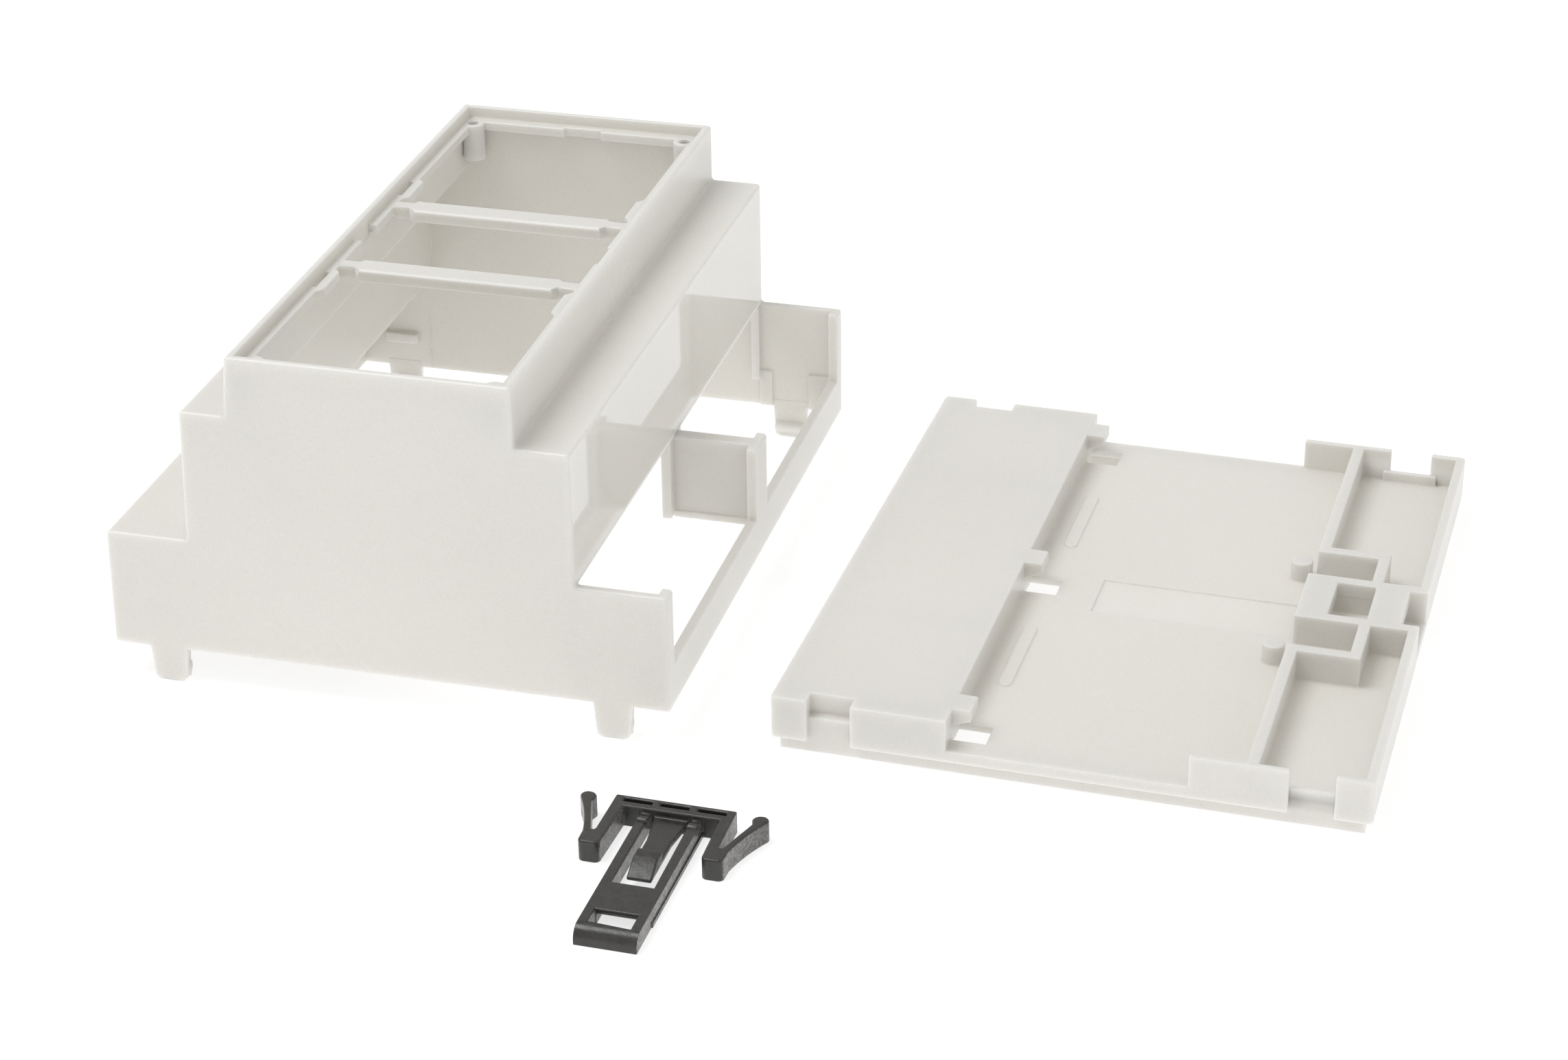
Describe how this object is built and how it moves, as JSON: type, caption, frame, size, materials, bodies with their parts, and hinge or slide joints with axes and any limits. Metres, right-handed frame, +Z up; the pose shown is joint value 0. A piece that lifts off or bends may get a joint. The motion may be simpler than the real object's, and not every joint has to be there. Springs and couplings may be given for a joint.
{
  "type": "din rail enclosure",
  "caption": "Modular DIN rail enclosure kit laid apart: stepped housing with framed windows and terminal bays, rail-side-up base plate, sliding rail latch.",
  "frame": {"origin": "on the table under the middle of the whole layout's bounding box", "axes": "+X runs right across the layout, +Y away from the viewer along the housing's length, +Z up"},
  "size_m": [0.198, 0.162, 0.0569],
  "materials": {
    "light_grey": "fine satin grain",
    "dark_grey": "satin"
  },
  "bodies": {
    "root": {"housing": "light_grey", "base_plate": "light_grey", "rail_latch": "dark_grey"}
  },
  "joints": []
}
